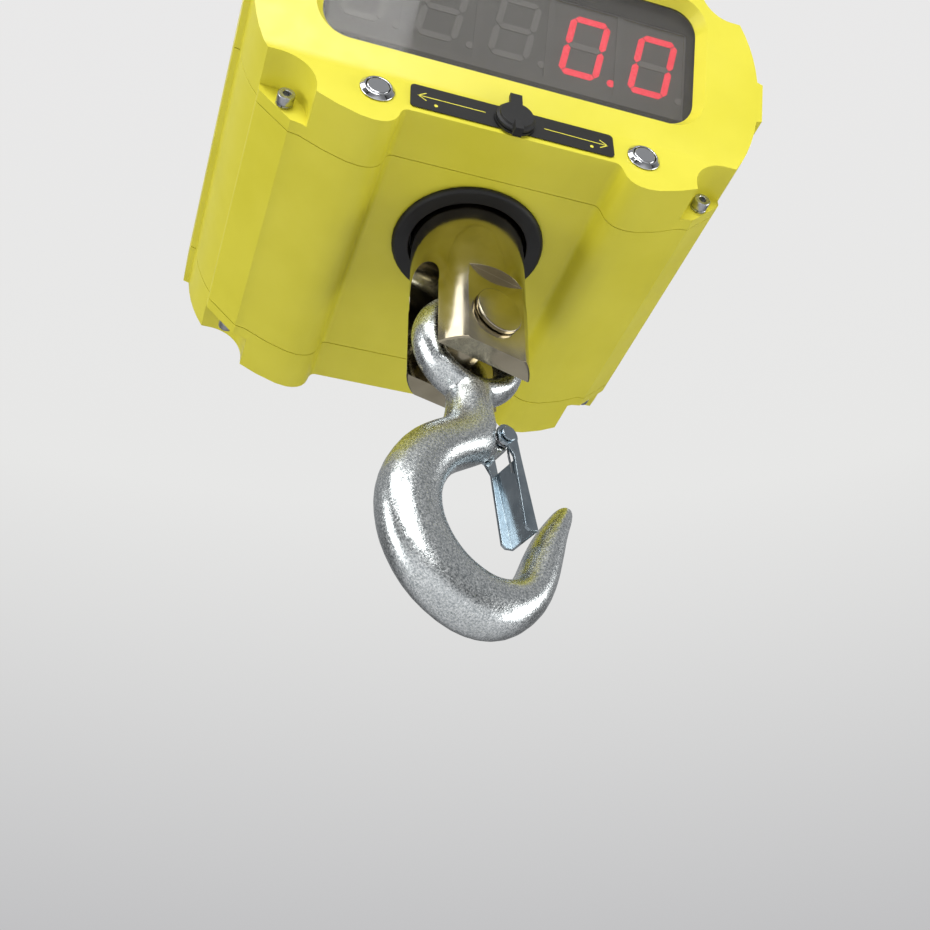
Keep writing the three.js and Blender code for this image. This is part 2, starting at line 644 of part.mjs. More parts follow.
// Lifting head above the housing, its stem and nut, and the spacer that clamps the top wall.
function topEyeSolid() {
  const { radius, low, high, flat, boreZ, stemLow } = topEye;
  let head = turned([
    [0, stemLow], [clevis.stem, stemLow], [clevis.stem, low], [radius, low], [radius, high - 12],
    [radius - 4, high - 4], [radius - 12, high], [0, high],
  ], 48);
  for (const side of [-1, 1]) {
    const x = [side * flat, side * (radius + 1)].sort((a, b) => a - b);
    head = head.subtract(box(...x, -radius - 1, radius + 1, low + 4, high + 1));
  }
  return head.subtract(rod('x', -radius - 1, radius + 1, 0, boreZ, shackle.pin + running, 36));
}
addPart('top_eye', topEyeSolid(), 'nickel');

const spacerLow = cell.high + joint;
const spacerHigh = housing.height + bush.lip;
function spacerTube() {
  const bore = clevis.stem + joint;
  return turned([
    [bore, spacerLow], [spacerRadius, spacerLow], [spacerRadius, spacerHigh - joint],
    [bore, spacerHigh - joint], [bore, spacerLow],
  ], 32);
}
addPart('top_spacer', spacerTube(), 'steel');
const upperNut = addPart('top_nut', hexNut(stemNut.across, stemNut.height, clevis.stem + joint), 'steel');
upperNut.position.z = cell.high - cell.beam - joint - stemNut.height;

// ---------------------------------------------------------------- shackle on the top pin
class BowCurve extends THREE.Curve {
  getPoint(t, target = new THREE.Vector3()) {
    const legX = shackle.jaw + shackle.lugWide / 2;
    const centreZ = shackle.hang + shackle.bar - shackle.bow - shackle.bar;
    const angle = Math.PI * (1.28 - 1.56 * ((t - 0.22) / 0.56));
    const reach = shackle.bow + shackle.bar;
    const onBow = (a) => [reach * Math.cos(a), centreZ + reach * Math.sin(a)];
    const leg = (share, side) => {
      const [endX, endZ] = onBow(side < 0 ? Math.PI * 1.28 : -Math.PI * 0.28);
      const ease = share * share * (3 - 2 * share);
      return [side * legX + (endX - side * legX) * ease, topEye.boreZ + (endZ - topEye.boreZ) * share];
    };
    let place = onBow(angle);
    if (t < 0.22) place = leg(t / 0.22, -1);
    if (t > 0.78) place = leg((1 - t) / 0.22, 1);
    return target.set(place[0], 0, place[1]);
  }
}

function shackleBow() {
  const section = new THREE.Shape();
  section.absarc(0, 0, shackle.bar, 0, 2 * Math.PI);
  const geometry = new THREE.ExtrudeGeometry(section, {
    steps: 32, extrudePath: new BowCurve(), bevelEnabled: false, curveSegments: 5,
  });
  let bow = toSolid(geometry);
  const { jaw, lug, lugWide, pin } = shackle;
  for (const side of [-1, 1]) {
    const x = [side * jaw, side * (jaw + lugWide)].sort((a, b) => a - b);
    bow = bow.add(rod('x', ...x, 0, topEye.boreZ, lug, 36));
    const inside = [side * (jaw - 12), side * jaw].sort((a, b) => a - b);
    bow = bow.subtract(box(...inside, -30, 30, topEye.boreZ - 30, topEye.boreZ + lug));
    const outside = [side * (jaw + lugWide), side * (jaw + lugWide + 12)].sort((a, b) => a - b);
    bow = bow.subtract(box(...outside, -30, 30, topEye.boreZ - 30, topEye.boreZ + lug));
  }
  return bow.subtract(rod('x', -60, 60, 0, topEye.boreZ, pin + running, 32));
}

function shacklePin() {
  const reach = shackle.jaw + shackle.lugWide;
  const tail = reach + joint + shackleNut.height + 7;
  const shank = rod('x', -reach - joint - 1, tail, 0, topEye.boreZ, shackle.pin, 32);
  const headX = -reach - joint;
  const head = rod('x', headX - shackleHead.height, headX, 0, topEye.boreZ, shackleHead.radius, 32);
  const hole = rod('y', -20, 20, tail - 3.5, topEye.boreZ, cotter.radius + joint, 12);
  return shank.add(head).subtract(hole);
}

function shackleNutSolid() {
  const nut = hexNut(shackleNut.across, shackleNut.height, shackle.pin + joint);
  const matrix = new THREE.Matrix4().makeRotationY(Math.PI / 2);
  matrix.setPosition(shackle.jaw + shackle.lugWide + joint, 0, topEye.boreZ);
  return moved(nut, matrix);
}

function cotterSolid() {
  const x = shackle.jaw + shackle.lugWide + joint + shackleNut.height + 3.5;
  const { radius, reach } = cotter;
  const stem = rod('y', -reach / 2 - 2, reach / 2 + 5, x, topEye.boreZ, radius, 12);
  const head = rod('x', x - radius, x + radius, -reach / 2 - 4, topEye.boreZ, radius * 2, 16);
  return stem.add(head);
}
addPart('shackle_bow', shackleBow(), 'zinc');
addPart('shackle_pin', shacklePin(), 'zinc');
addPart('shackle_nut', shackleNutSolid(), 'zinc');
addPart('shackle_cotter', cotterSolid(), 'steel');

// ---------------------------------------------------------------- clevis and hook, turned together
// In this group x runs along the clevis slot and y along the hook pin.
const hookGroup = new THREE.Group();
hookGroup.rotation.z = radians(clevis.turn);
assembly.add(hookGroup);

function clevisSolid() {
  const { radius, top, end, slotHalf, slotTop, step, flat, flatTop, stem, stemTop } = clevis;
  let body = turned([
    [0, end], [radius - 0.6, end], [radius, end + 0.6], [radius, step], [radius - 0.25, step + 1],
    [radius - 0.25, top - 1], [radius - 1.2, top], [stem, top], [stem, stemTop], [0, stemTop],
  ], 56);
  const slot = new THREE.Shape();
  slot.moveTo(-slotHalf, end - 5);
  slot.lineTo(slotHalf, end - 5);
  slot.lineTo(slotHalf, slotTop - slotHalf);
  slot.absarc(0, slotTop - slotHalf, slotHalf, 0, Math.PI);
  slot.closePath();
  const slotPoints = slot.getPoints(8).map((point) => [point.x, point.y]);
  body = body.subtract(prismX(slotPoints, -radius - 2, radius + 2));
  for (const side of [-1, 1]) {
    const y = [side * flat, side * (radius + 2)].sort((a, b) => a - b);
    body = body.subtract(box(-radius, radius, ...y, end - 5, flatTop));
  }
  return body.subtract(rod('y', -radius - 2, radius + 2, 0, hookPin.z, hookPin.radius + running, 36));
}
addPart('swivel_clevis', clevisSolid(), 'nickel', hookGroup);

function hookPinSolid() {
  const { z, radius, head, headHeight, tail, groove } = hookPin;
  const front = -clevis.flat - joint;
  const back = clevis.flat + tail;
  let pin = rod('y', front, back, 0, z, radius, 36);
  pin = pin.add(rod('y', front - headHeight, front, 0, z, head, 36));
  const grooveY = clevis.flat + joint;
  const cut = rod('y', grooveY, grooveY + clip.thickness + joint, 0, z, radius + 2, 36);
  const core = rod('y', grooveY - 1, grooveY + clip.thickness + 2, 0, z, groove, 30);
  return pin.subtract(cut.subtract(core));
}
addPart('hook_pin', hookPinSolid(), 'nickel', hookGroup);

// Open retaining clip in the groove at the back end of the pin.
function pinClip() {
  const y0 = clevis.flat + joint + joint / 2;
  const y1 = y0 + clip.thickness;
  let ring = rod('y', y0, y1, 0, hookPin.z, clip.outer, 30);
  ring = ring.subtract(rod('y', y0 - 1, y1 + 1, 0, hookPin.z, hookPin.groove + joint, 24));
  return ring.subtract(box(-3, 3, y0 - 1, y1 + 1, hookPin.z - clip.outer - 1, hookPin.z));
}
addPart('pin_clip', pinClip(), 'steel', hookGroup);

// The hook hangs with the inside of its eye on the pin.
const eyeZ = hookPin.z - (eye.ring - eye.bar - hookPin.radius - running);

// Stations along the hook from the neck to the tip. Each one gives the outer and the inner edge as
// [x, z] and the half thickness there, like the cut sections on a forging's drawing.
const hookStations = [
  { outer: [-9, -80], inner: [9.3, -80], half: 8 },
  { outer: [-9, -92], inner: [10.2, -93], half: 8.6 },
  { outer: [-11.8, -100.5], inner: [12, -101.5], half: 9.2 },
  { outer: [-20, -107], inner: [10, -110], half: 9.8 },
  { outer: [-28, -115.3], inner: [2.5, -116], half: 10.2 },
  { outer: [-35, -128], inner: [-6.8, -123.5], half: 10.3 },
  { outer: [-38.2, -141], inner: [-12.9, -134.5], half: 10.3 },
  { outer: [-37.4, -153], inner: [-13.2, -145], half: 10.3 },
  { outer: [-34, -163.8], inner: [-9.6, -153.5], half: 10.3 },
  { outer: [-26.6, -175], inner: [-4, -159.5], half: 10.3 },
  { outer: [-16.5, -183], inner: [1.8, -162.6], half: 10.3 },
  { outer: [-4, -187.8], inner: [6.8, -164], half: 10.3 },
  { outer: [8.5, -187.8], inner: [11.2, -164], half: 10.2 },
  { outer: [19.8, -183], inner: [15.5, -162.8], half: 10 },
  { outer: [29.2, -173.6], inner: [19.2, -160], half: 9.8 },
  { outer: [35.2, -162], inner: [22.5, -154], half: 9.4 },
  { outer: [39, -149.6], inner: [26.2, -145], half: 8.8 },
  { outer: [42, -137.5], inner: [31, -135.5], half: 7.9 },
  { outer: [45, -128.8], inner: [36.2, -127.6], half: 6.6 },
  { outer: [46, -123.8], inner: [40, -122.4], half: 5 },
  { outer: [45, -121.2], inner: [42.4, -120.8], half: 2.4 },
];

// The hook's body: a closed tube whose every ring is fitted between the two edges of its station.
// The rings are flattened on both faces, as a forging is where its dies close on it.
function hookBodySolid() {
  const edgePoints = (key) => hookStations.map((station) => new THREE.Vector2(...station[key]));
  const spline = (key) => new THREE.SplineCurve(edgePoints(key));
  const outer = spline('outer');
  const inner = spline('inner');
  const thickness = new THREE.SplineCurve(hookStations.map((station) => new THREE.Vector2(station.half, 0)));
  const { sides, rings, squareness } = hookBody;
  const geometry = new THREE.CylinderGeometry(1, 1, 1, sides, rings);
  const places = geometry.attributes.position;
  const flatten = (value) => Math.sign(value) * Math.abs(value) ** (2 / squareness);
  for (let i = 0; i < places.count; i += 1) {
    const along = Math.min(1, Math.max(0, 0.5 - places.getY(i)));
    const a = outer.getPoint(along);
    const b = inner.getPoint(along);
    const half = thickness.getPoint(along).x;
    const across = (flatten(places.getX(i)) + 1) / 2;
    const x = a.x + (b.x - a.x) * across;
    const z = a.y + (b.y - a.y) * across;
    places.setXYZ(i, x, half * flatten(places.getZ(i)), z);
  }
  const solid = toSolid(geometry);
  return solid.volume() > 0 ? solid : turnedInsideOut(geometry);
}

function turnedInsideOut(geometry) {
  const index = geometry.index.array;
  for (let i = 0; i < index.length; i += 3) {
    [index[i], index[i + 1]] = [index[i + 1], index[i]];
  }
  return toSolid(geometry);
}

function hookSolid() {
  const ringGeometry = new THREE.TorusGeometry(eye.ring, eye.bar, 12, 40);
  ringGeometry.scale(1, 1, eye.half / eye.bar).rotateX(Math.PI / 2).translate(0, 0, eyeZ);
  const inside = latch.half - latch.sheet - joint;
  const boss = rod('y', -lugFront, inside, latch.x, latch.z, hookBody.lug, 24);
  const web = box(0, latch.x, -lugFront, inside, latch.z - 3.2, latch.z + hookBody.lug - 0.4);
  let hook = hookBodySolid().add(toSolid(ringGeometry)).add(boss).add(web);
  const hole = rod('y', -20, 20, 0, eyeZ, eye.ring - eye.bar - 0.1, 40);
  hook = hook.subtract(hole);
  const pocket = latch.lobe + 2 * joint;
  const reach = hookBody.half + 2;
  for (const [side, lug] of [[-1, lugFront], [1, inside]]) {
    const y = [side * lug, side * reach].sort((a, b) => a - b);
    hook = hook.subtract(rod('y', ...y, latch.x, latch.z, pocket, 28));
    hook = hook.subtract(box(latch.x, latch.x + 14, ...y, latch.z - 9, latch.z + pocket));
  }
  return hook.subtract(rod('y', -20, 20, latch.x, latch.z, rivet.radius + running, 20));
}
addPart('hook', hookSolid(), 'zinc', hookGroup);

// ---------------------------------------------------------------- safety latch
// In this group z runs up the latch and x points out of the throat.
const latchGroup = new THREE.Group();
latchGroup.position.set(latch.x, 0, latch.z);
latchGroup.rotation.y = -radians(latch.tilt);
hookGroup.add(latchGroup);

function latchSolid() {
  const { half, sheet, web, top, length, lobe, cheekTop, cheekEnd } = latch;
  let plate = box(web - sheet, web, -half, half, -length, -top);
  for (const side of [-1, 1]) {
    const shape = new THREE.Shape();
    shape.moveTo(lobe * 0.9, -2);
    shape.lineTo(web, -top);
    shape.lineTo(web, -length);
    shape.lineTo(cheekEnd + 1.5, -length);
    shape.lineTo(cheekEnd, -length + 1.5);
    shape.lineTo(cheekTop, -top);
    shape.lineTo(-2, -2.5);
    shape.closePath();
    const y = [side * (half - sheet), side * half].sort((a, b) => a - b);
    plate = plate.add(prismY(shape, ...y)).add(rod('y', ...y, 0, 0, lobe, 28));
  }
  return plate.subtract(rod('y', -half - 1, half + 1, 0, 0, rivet.radius + running, 20));
}
addPart('latch', latchSolid(), 'steel', latchGroup);

function rivetSolid() {
  const { radius, head, headHeight } = rivet;
  const reach = latch.half + joint;
  let body = rod('y', -reach, reach, 0, 0, radius, 20);
  for (const side of [-1, 1]) {
    const y = [side * reach, side * (reach + headHeight)].sort((a, b) => a - b);
    body = body.add(rod('y', ...y, 0, 0, head, 20));
  }
  return body;
}
addPart('latch_rivet', rivetSolid(), 'steel', latchGroup);

// Torsion spring beside the hook's lug, inside the front cheek, with one leg along the web.
class CoilCurve extends THREE.Curve {
  getPoint(t, target = new THREE.Vector3()) {
    const { radius, wire, turns, leg, drop } = coil;
    const pitch = wire * 2 + 0.15;
    const bend = 0.8;
    const wound = Math.min(t / bend, 1);
    const angle = -2 * Math.PI * turns * wound;
    const low = -latch.half + latch.sheet + joint + wire;
    target.set(radius * Math.cos(angle), low + pitch * turns * wound, radius * Math.sin(angle));
    if (t > bend) {
      const share = (t - bend) / (1 - bend);
      target.z -= leg * share;
      target.x -= drop * Math.min(1, share * 2.2);
    }
    return target;
  }
}

function springSolid() {
  const section = new THREE.Shape();
  section.absarc(0, 0, coil.wire, 0, 2 * Math.PI);
  const geometry = new THREE.ExtrudeGeometry(section, {
    steps: 56, extrudePath: new CoilCurve(), bevelEnabled: false, curveSegments: 3,
  });
  return toSolid(geometry);
}
addPart('latch_spring', springSolid(), 'steel', latchGroup);

assembly.position.z = -shackle.hang;
export default assembly;
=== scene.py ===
# %% [markdown]
# # A hanging crane scale
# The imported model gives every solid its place. This lesson gives those solids the look of the real
# object: powder-coated castings, a zinc-plated forged hook, a nickel-plated swivel, a smoked display
# window with glowing segments, and small hardware with rounded edges.

# %% Load the frame
import bpy
import math
from mathutils import Matrix, Vector


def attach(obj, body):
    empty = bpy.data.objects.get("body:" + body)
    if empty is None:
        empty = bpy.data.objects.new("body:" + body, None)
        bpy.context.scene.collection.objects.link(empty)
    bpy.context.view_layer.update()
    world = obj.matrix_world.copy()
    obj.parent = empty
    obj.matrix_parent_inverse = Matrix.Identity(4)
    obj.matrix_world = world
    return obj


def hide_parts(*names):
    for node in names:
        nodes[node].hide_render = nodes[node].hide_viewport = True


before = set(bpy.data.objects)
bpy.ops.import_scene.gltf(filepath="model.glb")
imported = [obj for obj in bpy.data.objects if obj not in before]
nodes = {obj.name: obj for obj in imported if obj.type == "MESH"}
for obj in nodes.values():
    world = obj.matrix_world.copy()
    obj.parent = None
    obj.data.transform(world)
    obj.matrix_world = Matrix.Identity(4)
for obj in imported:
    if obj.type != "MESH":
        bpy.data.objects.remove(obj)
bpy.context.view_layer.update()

MM = 0.001

# %% [markdown]
# ## The places on the object
# The model's origin is where the shackle hangs. The housing's flat underside lies 198 mm below it,
# and the display face leans forward by 18.5 degrees. The upright strip and the display face each
# have their own axes, so that a piece on them can be drawn in plain flat numbers.

# %% Local frames
HANG = 198.0
STRIP_Y = -59.5
CREASE_Z = 18.5
LEAN = math.radians(18.5)


def axes(x, y, z, origin):
    """A matrix with these three directions as its columns and this origin in millimetres."""
    matrix = Matrix((x, y, z)).transposed().to_4x4()
    matrix.translation = Vector(origin) * MM
    return matrix


STRIP = axes((1, 0, 0), (0, 0, 1), (0, -1, 0), (0, STRIP_Y, -HANG))
DISPLAY = axes(
    (1, 0, 0),
    (0, -math.sin(LEAN), math.cos(LEAN)),
    (0, -math.cos(LEAN), -math.sin(LEAN)),
    (0, STRIP_Y, CREASE_Z - HANG),
)
print("display face leans", round(math.degrees(LEAN), 1), "degrees")

# %% [markdown]
# ## The camera
# The scale is seen from below and from a little to its left, so that the underside, the display and
# the hook all show. The camera's axes are given as rows: to the right, down, and forward.

# %% Camera
camera_data = bpy.data.cameras.new("camera")
camera_data.sensor_width = 36.0
camera_data.lens = 51.54
camera_data.clip_end = 50.0
camera = bpy.data.objects.new("camera", camera_data)
bpy.context.scene.collection.objects.link(camera)
right = Vector((0.95163, -0.30722, -0.00423))
down = Vector((0.18191, 0.57446, -0.79806))
forward = Vector((0.24761, 0.75869, 0.60256))
view = Matrix((right, -down, -forward)).transposed().to_4x4()
view.translation = Vector((-123.22, -373.15, -413.87 - HANG)) * MM
camera.matrix_world = view
bpy.context.scene.camera = camera
print("camera at", [round(v, 3) for v in view.translation])

# %% [markdown]
# ## The studio
# A pale floor stands well below the hook, and the surroundings are a pale grey that is brighter
# towards the top. Metal shows what is around it, so what the surfaces see is a studio with a dark
# lower part and bright panels, while the camera sees a clean plain backdrop.


# %% Colours and nodes
def colour(code):
    """A six-digit sRGB hex colour as linear red, green, blue and alpha."""
    channels = [int(code[i:i + 2], 16) / 255 for i in (0, 2, 4)]
    linear = [c / 12.92 if c <= 0.04045 else ((c + 0.055) / 1.055) ** 2.4 for c in channels]
    return (*linear, 1.0)


def add(tree, kind, inputs=None, **settings):
    """Adds one node, sets its properties, and fills or links its inputs."""
    node = tree.nodes.new(kind)
    for name, value in settings.items():
        setattr(node, name, value)
    for name, value in (inputs or {}).items():
        socket = node.inputs[name]
        if isinstance(value, bpy.types.NodeSocket):
            tree.links.new(value, socket)
        else:
            socket.default_value = value
    return node


def ramp(tree, factor, stops):
    """A colour ramp with (position, colour) stops."""
    node = add(tree, "ShaderNodeValToRGB", {"Fac": factor})
    elements = node.color_ramp.elements
    for i, (position, value) in enumerate(stops):
        element = elements[i] if i < 2 else elements.new(position)
        element.position = position
        element.color = value
    return node.outputs["Color"]


# %% World
world = bpy.data.worlds.new("studio")
bpy.context.scene.world = world
world.use_nodes = True
sky = world.node_tree
sky.nodes.clear()
place = add(sky, "ShaderNodeTexCoord")
split = add(sky, "ShaderNodeSeparateXYZ", {"Vector": place.outputs["Generated"]})
height = add(sky, "ShaderNodeMapRange", {"Value": split.outputs["Z"], "From Min": -1.0, "From Max": 1.0})
seen = ramp(sky, height.outputs["Result"], [
    (0.0, colour("B4B4B6")), (0.62, colour("BABABC")), (0.79, colour("E7E7E6")), (1.0, colour("EBEAEB")),
])
lit = ramp(sky, height.outputs["Result"], [
    (0.0, colour("2E2D2B")), (0.44, colour("3C3B39")), (0.53, colour("8E8E90")), (0.75, colour("C9CACD")),
    (1.0, colour("E6E6E8")),
])
path = add(sky, "ShaderNodeLightPath")
seen_light = add(sky, "ShaderNodeBackground", {"Color": seen, "Strength": 1.0})
lit_light = add(sky, "ShaderNodeBackground", {"Color": lit, "Strength": 0.55})
both = add(sky, "ShaderNodeMixShader", {
    "Fac": path.outputs["Is Camera Ray"], 1: lit_light.outputs[0], 2: seen_light.outputs[0],
})
add(sky, "ShaderNodeOutputWorld", {"Surface": both.outputs[0]})
bpy.context.scene.view_settings.view_transform = "Standard"


# %% Lights
# Five soft panels: a key light in front, a strip on each side, a wide panel overhead, and a small
# one in front, high on the left.
def panel(name, spot, aim, size, power):
    """A soft rectangular light at spot, turned towards aim, in metres and watts."""
    data = bpy.data.lights.new(name, "AREA")
    data.shape = "RECTANGLE"
    data.size, data.size_y = size
    data.energy = power
    lamp = bpy.data.objects.new(name, data)
    bpy.context.scene.collection.objects.link(lamp)
    lamp.location = spot
    lamp.rotation_euler = (Vector(aim) - Vector(spot)).to_track_quat("-Z", "Y").to_euler()
    return lamp


middle = Vector((0, 0, -0.15))
panel("key", (-0.35, -1.9, 0.35), middle, (1.2, 0.9), 33)
panel("left_strip", (-1.7, -0.2, -0.45), middle, (0.5, 1.4), 15)
panel("right_strip", (1.6, -0.5, -0.35), middle, (0.4, 1.2), 12)
panel("top", (0.1, 0.3, 1.6), middle, (1.4, 1.4), 12)
panel("left_card", (-1.0, -1.05, 0.75), middle, (0.75, 0.75), 7)
print("lights", len(bpy.data.lights))


# %% Floor
def fresh():
    """Leaves edit mode and deselects everything, ready for a new piece."""
    if bpy.context.object and bpy.context.object.mode != "OBJECT":
        bpy.ops.object.mode_set(mode="OBJECT")
    bpy.ops.object.select_all(action="DESELECT")


def material(name):
    """A new material with an empty tree, its shader and its output."""
    made = bpy.data.materials.new(name)
    made.use_nodes = True
    tree = made.node_tree
    tree.nodes.clear()
    shader = add(tree, "ShaderNodeBsdfPrincipled")
    add(tree, "ShaderNodeOutputMaterial", {"Surface": shader.outputs["BSDF"]})
    return made, tree, shader


fresh()
bpy.ops.mesh.primitive_grid_add(x_subdivisions=8, y_subdivisions=8, size=14, location=(0, 2.0, -0.95))
floor = bpy.context.object
floor.name = "floor"
paper, tree, shader = material("white_paper_backdrop")
shader.inputs["Base Color"].default_value = colour("CFCFD1")
shader.inputs["Roughness"].default_value = 0.9
floor.data.materials.append(paper)

# %% [markdown]
# ## Finishes
# A finish is more than its colour. Powder coat has a faint orange peel, zinc plate on a forging
# has small bright grains, and turned metal carries fine rings that stretch its highlights.
# Patterns are sized in millimetres: a texture's scale is how many features fit in one metre.


# %% Pattern helpers
def per(size_mm):
    """A texture scale whose features are about this many millimetres across."""
    return 1000.0 / size_mm


def object_place(tree):
    return add(tree, "ShaderNodeTexCoord").outputs["Object"]


def noise(tree, size_mm, detail=2.0, rough=0.5):
    return add(tree, "ShaderNodeTexNoise", {
        "Vector": object_place(tree), "Scale": per(size_mm), "Detail": detail, "Roughness": rough,
    }).outputs["Fac"]


def relief(tree, shader, pattern, depth_mm, strength=1.0, normal=None):
    """Bumps the shader's surface by a pattern, and returns the bumped normal."""
    inputs = {"Height": pattern, "Distance": depth_mm * MM, "Strength": strength}
    if normal:
        inputs["Normal"] = normal
    bump = add(tree, "ShaderNodeBump", inputs)
    tree.links.new(bump.outputs["Normal"], shader.inputs["Normal"])
    return bump.outputs["Normal"]


def spread(tree, pattern, low, high):
    """Stretches a pattern to run between two values."""
    return add(tree, "ShaderNodeMapRange", {
        "Value": pattern, "From Min": 0.3, "From Max": 0.7, "To Min": low, "To Max": high,
    }).outputs["Result"]


# %% Powder coat
# Polyester powder coat on cast aluminium: a soft gloss broken by a shallow orange peel, and a
# slightly uneven yellow-green where the film is thicker.
powder_coat, tree, shader = material("powder_coat_yellow_green")
film = noise(tree, 34, 3.0)
yellow = ramp(tree, film, [(0.35, colour("D6CD36")), (0.65, colour("DCD33F"))])
tree.links.new(yellow, shader.inputs["Base Color"])
tree.links.new(spread(tree, noise(tree, 9), 0.34, 0.42), shader.inputs["Roughness"])
peel = relief(tree, shader, noise(tree, 1.6, 2.0, 0.6), 0.05, 0.35)
relief(tree, shader, noise(tree, 6, 1.0), 0.06, 0.3, peel)


# %% Metals
def metal(name, base, roughness, grain_mm, grain_depth, rough_mm=6.0, tint=None):
    """A plated or bare metal with a fine grain and a little unevenness in colour and gloss."""
    made, tree, shader = material(name)
    cloud = noise(tree, rough_mm, 3.0)
    shade = ramp(tree, cloud, [(0.3, colour(base)), (0.7, colour(tint or base))])
    tree.links.new(shade, shader.inputs["Base Color"])
    shader.inputs["Metallic"].default_value = 1.0
    tree.links.new(spread(tree, cloud, roughness[0], roughness[1]), shader.inputs["Roughness"])
    relief(tree, shader, noise(tree, grain_mm, 3.0, 0.65), grain_depth)
    return made, tree, shader


# Zinc plate over a shot-blasted forging: bluish white, glittering with small dark and bright grains.
zinc_forging, tree, shader = metal("zinc_plated_forging", "9EA5A6", (0.22, 0.34), 0.7, 0.07, 0.7, "F1F4F3")
# Zinc-plated pressed sheet: smoother, a little bluer.
zinc_sheet, tree, shader = metal("zinc_plated_sheet", "8E9BA3", (0.14, 0.26), 1.4, 0.02, 8.0, "ACB6BC")
# Nickel plate over turned steel: warm and bright.
nickel_turned, tree, shader = metal(
    "nickel_plated_turned_steel", "9C947F", (0.1, 0.2), 2.0, 0.008, 12.0, "B0A893")
# A wave texture runs through 20 radians for each unit of its scale, not through 20 whole waves. With
# 0.9 mm to the radian, the turning marks are 5.7 mm apart, which is coarser than on turned steel.
RADIAN_MM = 0.9
WAVE_RADIANS = 20
rings = add(tree, "ShaderNodeTexWave", {
    "Vector": object_place(tree), "Scale": per(RADIAN_MM) / WAVE_RADIANS,
    "Distortion": 1.2, "Detail": 2.0,
}, bands_direction="Z")
relief(tree, shader, rings.outputs["Fac"], 0.006, 0.6)
# Polished chrome on the buttons.
chrome, tree, shader = metal("chrome_plate", "CFD1D3", (0.05, 0.12), 1.5, 0.003)
# Stainless socket screws and washers.
stainless, tree, shader = metal("stainless_steel", "A3A5A8", (0.22, 0.36), 0.8, 0.01, 5.0, "BFC0C2")
# Milled aluminium alloy of the load cell.
milled_alloy, tree, shader = metal("milled_aluminium", "A4A8AC", (0.3, 0.42), 0.7, 0.02, 9.0, "B8BBBE")


# %% Plastics and rubbers
def plastic(name, base, tint, roughness, grain_mm, grain_depth):
    """A moulded plastic, rubber or film with a fine surface grain."""
    made, tree, shader = material(name)
    cloud = noise(tree, 12, 2.0)
    shade = ramp(tree, cloud, [(0.3, colour(base)), (0.7, colour(tint))])
    tree.links.new(shade, shader.inputs["Base Color"])
    tree.links.new(spread(tree, cloud, roughness[0], roughness[1]), shader.inputs["Roughness"])
    relief(tree, shader, noise(tree, grain_mm, 2.0), grain_depth)
    return made


black_nylon = plastic("black_nylon", "070708", "0C0C0D", (0.45, 0.6), 0.6, 0.02)
black_rubber = plastic("black_rubber", "0A0A0B", "111112", (0.5, 0.7), 0.5, 0.02)
label_film = plastic("black_polyester_label", "060607", "09090A", (0.5, 0.6), 0.8, 0.004)
yellow_ink = plastic("yellow_screen_ink", "D9D03C", "E3DB52", (0.4, 0.55), 0.5, 0.004)
solder_mask = plastic("green_solder_mask", "1B5E33", "237040", (0.3, 0.5), 1.0, 0.01)
battery_case = plastic("abs_battery_case", "34383D", "43474D", (0.45, 0.6), 0.7, 0.02)
window_border = plastic("grey_screen_ink", "252423", "2A2928", (0.4, 0.5), 0.8, 0.001)
digit_face = plastic("grey_led_face", "8D8B87", "918F8B", (0.55, 0.65), 0.8, 0.001)
unlit_diffuser = plastic("unlit_led_diffuser", "ACAAA5", "B0AEA9", (0.5, 0.6), 0.5, 0.001)
lamp_lens = plastic("amber_lamp_lens", "C9BE3E", "D6CA52", (0.18, 0.26), 0.6, 0.003)
filter_card = plastic("grey_filter_card", "918F8B", "95938F", (0.55, 0.65), 1.0, 0.001)

# Lit segments glow pink-red through the smoked window.
lit_diffuser, tree, shader = material("lit_red_led_diffuser")
speckle = noise(tree, 0.9, 1.0)
plastic_red = ramp(tree, speckle, [(0.35, colour("E04858")), (0.65, colour("F06070"))])
glow_red = ramp(tree, speckle, [(0.35, colour("F01C34")), (0.65, colour("FA3C50"))])
tree.links.new(plastic_red, shader.inputs["Base Color"])
tree.links.new(glow_red, shader.inputs["Emission Color"])
shader.inputs["Emission Strength"].default_value = 1.7
shader.inputs["Roughness"].default_value = 0.5

# Smoked acrylic: polished, and clear enough for the digits behind it to show.
smoked_acrylic, tree, shader = material("smoked_acrylic")
haze = noise(tree, 25, 2.0)
smoke = ramp(tree, haze, [(0.3, colour("605E5B")), (0.7, colour("656360"))])
tree.links.new(smoke, shader.inputs["Base Color"])
tree.links.new(spread(tree, haze, 0.03, 0.06), shader.inputs["Roughness"])
shader.inputs["Specular IOR Level"].default_value = 0.3
shader.inputs["IOR"].default_value = 1.49
shader.inputs["Alpha"].default_value = 0.36
print("materials", len(bpy.data.materials))


# %% [markdown]
# ## From CAD solid to finished piece
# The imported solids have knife-sharp edges. Real castings and machined parts have small radii that
# catch the light, so each visible solid is copied, its loose triangles are merged and its flat faces
# joined, and a bevel rounds every sharp edge. The copy then stands for the solid.


# %% Rounded copies
SMOOTH_ANGLE = math.radians(35)


def wear(piece, finish):
    piece.data.materials.clear()
    piece.data.materials.append(finish)


def finished(piece, body, slot, finish, *stands_for):
    """Gives the piece its finish, parents it to its body, and hides the CAD nodes that it stands for. The
    slot is not used.
    """
    wear(piece, finish)
    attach(piece, body)
    if stands_for:
        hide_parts(*stands_for)
    return piece


def apply_all(piece):
    fresh()
    piece.select_set(True)
    bpy.context.view_layer.objects.active = piece
    for modifier in list(piece.modifiers):
        bpy.ops.object.modifier_apply(modifier=modifier.name)


